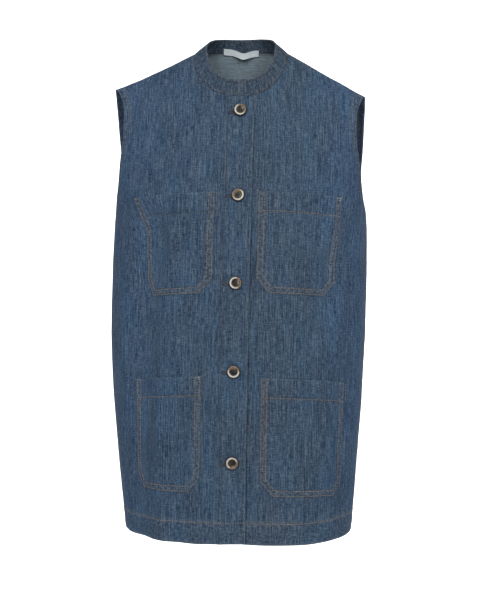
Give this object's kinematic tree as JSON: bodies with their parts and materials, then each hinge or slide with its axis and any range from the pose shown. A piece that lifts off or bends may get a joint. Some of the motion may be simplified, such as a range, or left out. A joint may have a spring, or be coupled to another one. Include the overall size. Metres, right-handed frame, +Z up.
{
  "type": "sleeveless denim vest",
  "caption": "Long sleeveless denim vest with a low band collar, a buttoned front band and chamfered patch pockets, standing open and hollow as if it were worn.",
  "frame": {"origin": "midway between the two points where the collar seam meets the shoulder seams, where the wearer's shoulders hold the vest up", "axes": "+Z up along the vest's length, -Y towards the buttoned front, +X towards the wearer's left"},
  "size_m": [0.3823, 0.2578, 0.7487],
  "materials": {
    "denim": "matte woven cotton, warp faced",
    "horn": "polished, marbled brown with a paler rim",
    "label_ribbon": "woven ribbon, blank"
  },
  "bodies": {
    "root": {"front_right": "denim", "front_left": "denim", "back": "denim", "collar": "denim", "buttonhole_band": "denim", "pocket_chest_right": "denim", "pocket_chest_left": "denim", "pocket_hip_right": "denim", "pocket_hip_left": "denim", "button_1": "horn", "button_2": "horn", "button_3": "horn", "button_4": "horn", "button_5": "horn", "neck_label": "label_ribbon"}
  },
  "joints": []
}
